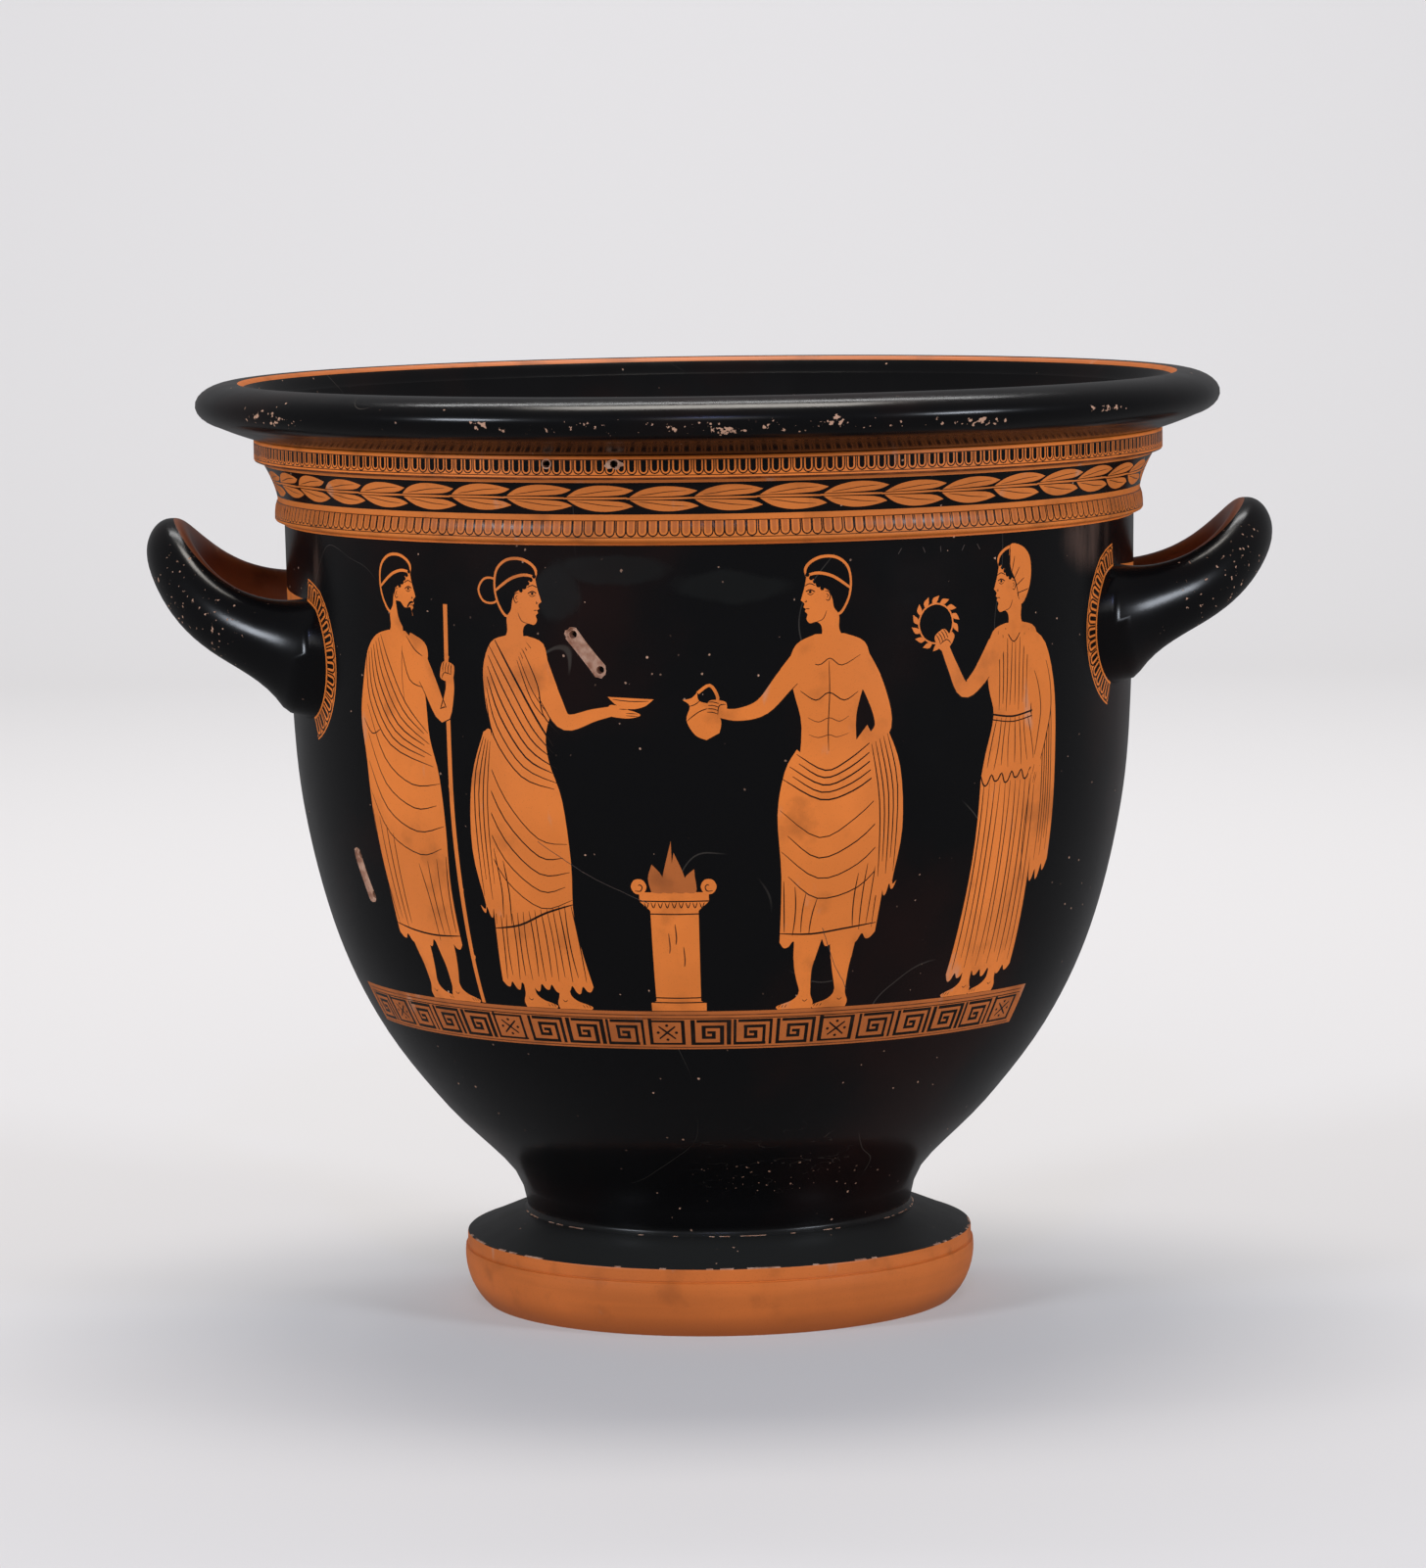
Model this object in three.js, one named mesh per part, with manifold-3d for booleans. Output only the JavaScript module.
// Bell krater: a wide wine-mixing bowl of fired clay on a disc foot, with two upturned loop handles.
// Units are millimetres. +Z is up, the origin is the centre of the underside of the foot,
// the handles lie along X and the front of the bowl faces -Y.

import * as THREE from "three";
import { mergeVertices } from "three/addons/utils/BufferGeometryUtils.js";
import Module from "manifold-3d";

const wasm = await Module();
wasm.setup();

// Foot, from the ground up
const footRadius = 114.8;
const restRadius = 105.7;
const restWidth = 13;
const ovoloHeight = 24.6;
const grooveDepth = 1.5;
const grooveHeight = 0.9;
const footFilletHeight = 5.7;
const footFilletSetback = 1.4;
const footTopRise = 9.3;
const footBulgeBelow = 2.4;
const footBulgeAbove = 0.6;
const footBulgeTop = 0.5;
const footHollowDepth = 48;
const footHollowWidth = 0.8;

// Bowl
const stemRadius = 86.2;
const stemFillet = 2.4;
const bowlRadius = 189;
const bowlHeight = 309;
const wall = 8;
const floorThickness = 13;
const floorFlatness = 0.72;
const evenWallShare = 0.82;

// Mouldings and lip above the bowl
const flangeHeight = 10;
const flangeOverhang = 4.2;
const flangeTaper = 1.4;
const neckHeight = 17;
const neckFlare = 6.6;
const ledgeHeight = 10.3;
const ledgeOverhang = 3.6;
const ledgeRounding = 1.2;
const coveHeight = 6.4;
const coveBendOut = 7;
const coveBendRise = 2.1;
const lipHeight = 18.3;
const lipReach = 16.4;
const lipSlopeDepth = 8;
const lipWidestShare = 0.46;
const lipUndercut = 62;

// Handles
const handleReach = 61.8;
const handleSpread = 61;
const handleHeight = 28.6;
const handleOuterDepth = 11;
const handleInnerDepth = 9;
const innerFlatness = 0.75;
const handleFlareHeight = 13;
const handleFlareDepth = 15;
const handleFlareLength = 13.5;
const handleCurl = 4.5;
const rightHandle = { side: 1, tip: 341.5, frontRoot: 308, backRoot: 302, slope: 0.55 };
const leftHandle = { side: -1, tip: 339, frontRoot: 298, backRoot: 303, slope: 0.5 };

// Ancient repairs: two clamp beds with their rivet holes, and two lacing holes in the ledge
const clampWidth = 5.3;
const clampDepth = 1.4;
const rivetRadius = 1.9;
const rivetDepth = 5;
const clamps = [
  { azimuth: -16.2, height: 306, length: 24.2, tilt: 38 },
  { azimuth: -58, height: 203, length: 24, tilt: 15 },
];
const laceRadius = 2;
const laceAzimuths = [-19.5, -11.2];
const laceDrop = 2.6;

// Fineness of the curves
const turnSegments = 48;
const bowlSteps = 12;
const arcSteps = 5;
const handleSteps = 18;
const handleSides = 14;

// Heights that follow from the sizes above
const footSideTop = ovoloHeight + grooveHeight + footFilletHeight;
const stemBase = footSideTop + footTopRise;
const bowlBase = stemBase + stemFillet;
const bowlTop = bowlBase + bowlHeight;
const flangeTop = bowlTop + flangeHeight;
const ledgeBase = flangeTop + neckHeight;
const ledgeTop = ledgeBase + ledgeHeight;
const lipBase = ledgeTop + coveHeight;
const crestHeight = lipBase + lipHeight;
const neckRadius = bowlRadius + flangeOverhang - flangeTaper;
const ledgeRadius = neckRadius + neckFlare + ledgeOverhang;
const crestRadius = ledgeRadius + lipReach / 2;
const lipRollRadius = lipReach + 1;

const point = (radius, height) => new THREE.Vector2(radius, height);

// The bowl's outer curve, as shares of its gain in radius and of its height
const bowlShape = [
  [0, 0],
  [0.065, 0.056],
  [0.355, 0.154],
  [0.62, 0.272],
  [0.811, 0.41],
  [0.94, 0.587],
  [0.985, 0.764],
  [1, 1],
];
const bowlPoint = ([gain, rise]) =>
  point(stemRadius + gain * (bowlRadius - stemRadius), bowlBase + rise * bowlHeight);
const bowlCurve = new THREE.SplineCurve(bowlShape.map(bowlPoint));

const arc = (centre, radii, from, to, steps = arcSteps) =>
  Array.from({ length: steps + 1 }, (_, i) => {
    const angle = THREE.MathUtils.degToRad(from + ((to - from) * i) / steps);
    return point(centre.x + radii.x * Math.cos(angle), centre.y + radii.y * Math.sin(angle));
  });

// A point of the bowl's curve moved into the wall, square to the curve
function insideBowl(share, depth) {
  const tangent = bowlCurve.getTangent(share);
  return bowlCurve.getPoint(share).add(point(-tangent.y, tangent.x).multiplyScalar(depth));
}

function bowlRadiusAt(height) {
  let low = 0;
  let high = 1;
  for (let i = 0; i < 40; i += 1) {
    const middle = (low + high) / 2;
    if (bowlCurve.getPoint(middle).y < height) low = middle;
    else high = middle;
  }
  return bowlCurve.getPoint(low).x;
}

// Underside: the hollow of the foot and the ring that the pot rests on
function undersideProfile() {
  const ringInside = restRadius - restWidth;
  const hollow = new THREE.CubicBezierCurve(
    point(0, footHollowDepth),
    point(ringInside * footHollowWidth, footHollowDepth),
    point(ringInside * footHollowWidth, footHollowDepth / 4),
    point(ringInside, 0),
  );
  return [...hollow.getPoints(arcSteps), point(restRadius, 0)];
}

function footProfile() {
  const bulge = new THREE.CubicBezierCurve(
    point(restRadius, 0),
    point(footRadius - footBulgeBelow, ovoloHeight / 4),
    point(footRadius + footBulgeAbove, (ovoloHeight * 2) / 3),
    point(footRadius - footBulgeTop, ovoloHeight),
  );
  const filletRadius = footRadius - footFilletSetback;
  return [
    ...bulge.getPoints(arcSteps).slice(1),
    point(footRadius - grooveDepth, ovoloHeight + grooveHeight / 2),
    point(filletRadius, ovoloHeight + grooveHeight),
    point(filletRadius, footSideTop - ledgeRounding / 2),
    point(filletRadius - ledgeRounding / 2, footSideTop),
    point(stemRadius + stemFillet, stemBase),
  ];
}

function mouldingProfile() {
  const rounding = point(ledgeRounding, ledgeRounding);
  const ledgeCorner = point(ledgeRadius - ledgeRounding, ledgeBase + ledgeRounding);
  const neck = [0, 0.35, 0.7, 1].map((share) =>
    point(neckRadius + neckFlare * share ** 1.5, flangeTop + neckHeight * share),
  );
  return [
    point(bowlRadius + flangeOverhang - ledgeRounding, bowlTop + ledgeRounding / 2),
    point(bowlRadius + flangeOverhang, bowlTop + ledgeRounding * 1.5),
    ...neck,
    ...arc(ledgeCorner, rounding, -90, 0, 2),
    point(ledgeRadius, ledgeTop - ledgeRounding / 2),
    point(ledgeRadius - ledgeRounding / 2, ledgeTop),
  ];
}

// Slanting underside of the lip, then the rolled lip up to its crest
function lipProfile() {
  const rollCentre = point(crestRadius, lipBase + lipHeight * lipWidestShare);
  const rollRadii = point(lipRollRadius, crestHeight - rollCentre.y);
  const roll = arc(rollCentre, rollRadii, -lipUndercut, 90, arcSteps + 2);
  const cove = new THREE.QuadraticBezierCurve(
    point(ledgeRadius - ledgeRounding / 2, ledgeTop),
    point(ledgeRadius + coveBendOut, ledgeTop + coveBendRise),
    roll[0],
  );
  return [...cove.getPoints(3).slice(1, 3), ...roll];
}

// Inside, from the crest down to the middle of the floor
function insideProfile() {
  const mouth = bowlRadius - wall;
  const throat = new THREE.CubicBezierCurve(
    point(crestRadius - lipSlopeDepth, crestHeight - lipSlopeDepth),
    point(crestRadius - lipSlopeDepth * 2, crestHeight - lipSlopeDepth * 3),
    point(mouth + 1, bowlTop + neckHeight + flangeHeight),
    point(mouth, bowlTop),
  );
  const steps = bowlSteps - 2;
  const shares = Array.from({ length: steps }, (_, i) => 1 - (evenWallShare * (i + 1)) / steps);
  const bowl = shares.map((share) => insideBowl(share, wall));
  const lowest = bowl[bowl.length - 1];
  const floor = new THREE.QuadraticBezierCurve(
    lowest,
    point(lowest.x * floorFlatness, footHollowDepth + floorThickness),
    point(0, footHollowDepth + floorThickness),
  );
  return [
    point(crestRadius - lipSlopeDepth / 3, crestHeight - lipSlopeDepth / 8),
    ...throat.getPoints(arcSteps),
    ...bowl,
    ...floor.getPoints(4).slice(1),
  ];
}

function latheSolid(profile) {
  const geometry = new THREE.LatheGeometry(profile, turnSegments);
  geometry.rotateX(Math.PI / 2);
  return solidOf(geometry);
}

// A closed solid from a three.js geometry, with shared corners merged and empty faces dropped
function solidOf(geometry) {
  const bare = geometry.clone();
  bare.deleteAttribute("normal");
  bare.deleteAttribute("uv");
  const merged = mergeVertices(bare, 1e-4);
  const corners = merged.getIndex().array;
  const faces = [];
  for (let i = 0; i < corners.length; i += 3) {
    const [a, b, c] = [corners[i], corners[i + 1], corners[i + 2]];
    if (a !== b && b !== c && c !== a) faces.push(a, b, c);
  }
  const vertProperties = new Float32Array(merged.attributes.position.array);
  const filled = (triangles) => {
    const triVerts = new Uint32Array(triangles);
    return new wasm.Manifold(new wasm.Mesh({ numProp: 3, vertProperties, triVerts }));
  };
  const solid = filled(faces);
  return solid.volume() > 0 ? solid : filled(faces.reverse());
}

function geometryOf(solid) {
  const mesh = solid.getMesh();
  const geometry = new THREE.BufferGeometry();
  const places = new THREE.BufferAttribute(new Float32Array(mesh.vertProperties), 3);
  geometry.setAttribute("position", places);
  geometry.setIndex(new THREE.BufferAttribute(new Uint32Array(mesh.triVerts), 1));
  geometry.computeVertexNormals();
  return geometry;
}

function potSolid() {
  return latheSolid([
    ...undersideProfile(),
    ...footProfile(),
    ...bowlCurve.getPoints(bowlSteps),
    ...mouldingProfile(),
    ...lipProfile(),
    ...insideProfile(),
  ]);
}

// A plug that ends in the middle of the wall: handle roots are trimmed by it, so none shows inside
function wallCore() {
  const shares = Array.from({ length: bowlSteps }, (_, i) => 1 - (evenWallShare * i) / bowlSteps);
  const edge = shares.map((share) => insideBowl(share, wall / 2)).reverse();
  return latheSolid([point(0, edge[0].y), ...edge, point(0, bowlTop)]);
}

const handleTipX = bowlRadius + handleReach - handleOuterDepth;

function rootX(height) {
  return Math.sqrt(bowlRadiusAt(height) ** 2 - handleSpread ** 2);
}

// Middle line of a handle: turn runs from 0 at the front root to pi at the back root
function handlePoint(turn, { side, tip, frontRoot, backRoot, slope }) {
  const root = turn < Math.PI / 2 ? frontRoot : backRoot;
  const out = Math.sin(turn);
  const rise = slope * out + (1 - slope) * Math.max(out, 0) ** handleCurl;
  const x = rootX(root) + (handleTipX - rootX(root)) * out;
  return new THREE.Vector3(side * x, -handleSpread * Math.cos(turn), root + (tip - root) * rise);
}

// Cross-section: round outside, flatter towards the loop, growing where it meets the wall
function handleSection(angle, distance) {
  const flare = Math.exp(-distance / handleFlareLength);
  const height = handleHeight / 2 + handleFlareHeight * flare;
  const across = Math.cos(angle);
  const outer = handleOuterDepth + handleFlareDepth * flare;
  const inner = handleInnerDepth + handleFlareDepth * flare;
  const depth = across > 0 ? outer * across : -inner * (-across) ** innerFlatness;
  return [depth, height * Math.sin(angle)];
}

// How far the middle line runs on into the wall, so that the flared root is closed by it
function buriedTurn() {
  const widest = handleSpread + handleOuterDepth + handleFlareDepth;
  const depth = bowlRadius - Math.sqrt(bowlRadius ** 2 - widest ** 2) + wall;
  return depth / handleReach;
}

function handleSolid(handle) {
  const geometry = new THREE.CylinderGeometry(1, 1, 1, handleSides, handleSteps);
  const position = geometry.attributes.position;
  const buried = buriedTurn();
  for (let i = 0; i < position.count; i += 1) {
    const turn = (position.getY(i) + 0.5) * (Math.PI + 2 * buried) - buried;
    const centre = handlePoint(turn, handle);
    const ahead = handlePoint(turn + 1e-3, handle);
    const tangent = ahead.sub(handlePoint(turn - 1e-3, handle)).normalize();
    const outward = new THREE.Vector3(tangent.y, -tangent.x, 0).normalize();
    outward.multiplyScalar(handle.side);
    const upward = new THREE.Vector3().crossVectors(outward, tangent).normalize();
    upward.multiplyScalar(handle.side);
    const rim = Math.hypot(position.getX(i), position.getZ(i));
    const angle = Math.atan2(position.getZ(i), position.getX(i));
    const distance = Math.max(Math.abs(centre.x) - rootX(handle.frontRoot), 0);
    const [depth, height] = rim > 0.5 ? handleSection(angle, distance) : [0, 0];
    centre.addScaledVector(outward, depth).addScaledVector(upward, height);
    position.setXYZ(i, centre.x, centre.y, centre.z);
  }
  return solidOf(geometry).subtract(wallCore());
}

// Turns a cutter made about the origin, pointing along +Z, to bore into the wall at a place
function atWall(geometry, azimuth, height, radius) {
  const turn = THREE.MathUtils.degToRad(azimuth);
  geometry.rotateX(Math.PI / 2);
  geometry.rotateZ(turn);
  geometry.translate(radius * Math.sin(turn), -radius * Math.cos(turn), height);
  return solidOf(geometry);
}

function borer(radius, depth) {
  const geometry = new THREE.CylinderGeometry(radius, radius, depth * 2, 10);
  return geometry.rotateX(Math.PI / 2);
}

function clampCutters({ azimuth, height, length, tilt }) {
  const end = clampWidth / 2;
  const run = length / 2 - end;
  const outline = new THREE.Shape();
  outline.absarc(0, run, end, 0, Math.PI);
  outline.absarc(0, -run, end, Math.PI, 2 * Math.PI);
  const settings = { depth: clampDepth * 2, bevelEnabled: false, curveSegments: 5 };
  const slot = new THREE.ExtrudeGeometry(outline, settings);
  slot.translate(0, 0, -clampDepth);
  const holes = [-run, run].map((offset) => borer(rivetRadius, rivetDepth).translate(0, offset, 0));
  return [slot, ...holes].map((cutter) => {
    cutter.rotateZ(THREE.MathUtils.degToRad(tilt));
    return atWall(cutter, azimuth, height, bowlRadiusAt(height));
  });
}

function kraterSolid() {
  const laceHole = (azimuth) =>
    atWall(borer(laceRadius, rivetDepth), azimuth, ledgeTop - laceDrop, ledgeRadius);
  const cutters = [...clamps.flatMap(clampCutters), ...laceAzimuths.map(laceHole)];
  const whole = potSolid().add(handleSolid(rightHandle)).add(handleSolid(leftHandle));
  return cutters.reduce((solid, cutter) => solid.subtract(cutter), whole);
}

const firedClay = new THREE.MeshStandardMaterial({ color: 0x1b1c19, roughness: 0.22, metalness: 0 });
const krater = new THREE.Mesh(geometryOf(kraterSolid()), firedClay);
krater.name = "krater";

const model = new THREE.Group();
model.add(krater);

export default model;
